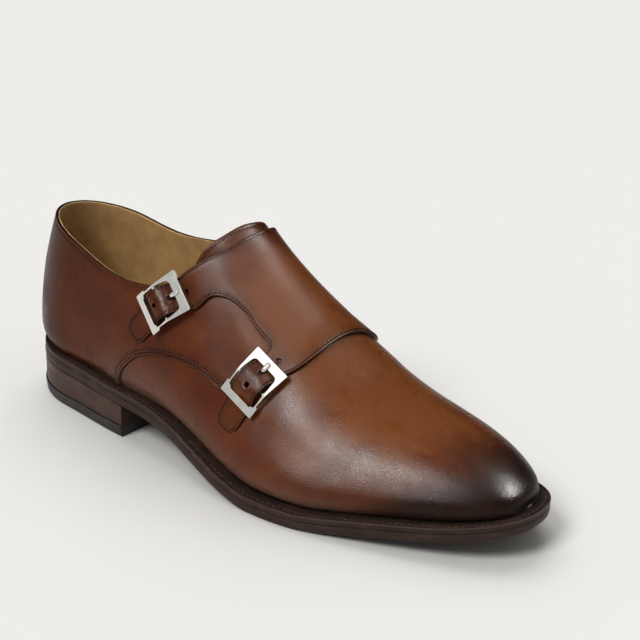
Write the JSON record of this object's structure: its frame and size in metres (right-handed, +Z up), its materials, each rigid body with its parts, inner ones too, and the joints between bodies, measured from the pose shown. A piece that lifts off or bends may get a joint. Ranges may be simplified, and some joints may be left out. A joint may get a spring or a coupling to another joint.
{
  "type": "monk strap shoe",
  "caption": "Leather dress shoe with a plain toe, an instep flap and buckled straps over a welted sole with a low heel.",
  "frame": {"origin": "on the floor, under the middle of the shoe's box", "axes": "+X from the heel to the toe, +Z up, -Y the outer side with the buckles, +Y the inner side"},
  "size_m": [0.3014, 0.111, 0.1168],
  "materials": {
    "upper_leather": "satin, burnished darker at the toe",
    "flap_leather": "satin",
    "tongue_leather": "satin",
    "lining_leather": "matt",
    "sole_leather": "polished edge",
    "heel_leather": "polished edge",
    "heel_rubber": "matt",
    "buckle_metal": "polished nickel"
  },
  "bodies": {
    "root": {"outsole": "sole_leather", "welt": "sole_leather", "heel_top_piece": "heel_rubber", "heel_stack": "heel_leather", "insole": "lining_leather", "upper": "upper_leather", "tongue": "tongue_leather", "monk_flap": "flap_leather", "buckle_frame_rear": "buckle_metal", "buckle_prong_rear": "buckle_metal", "buckle_frame_front": "buckle_metal", "buckle_prong_front": "buckle_metal"}
  },
  "joints": []
}
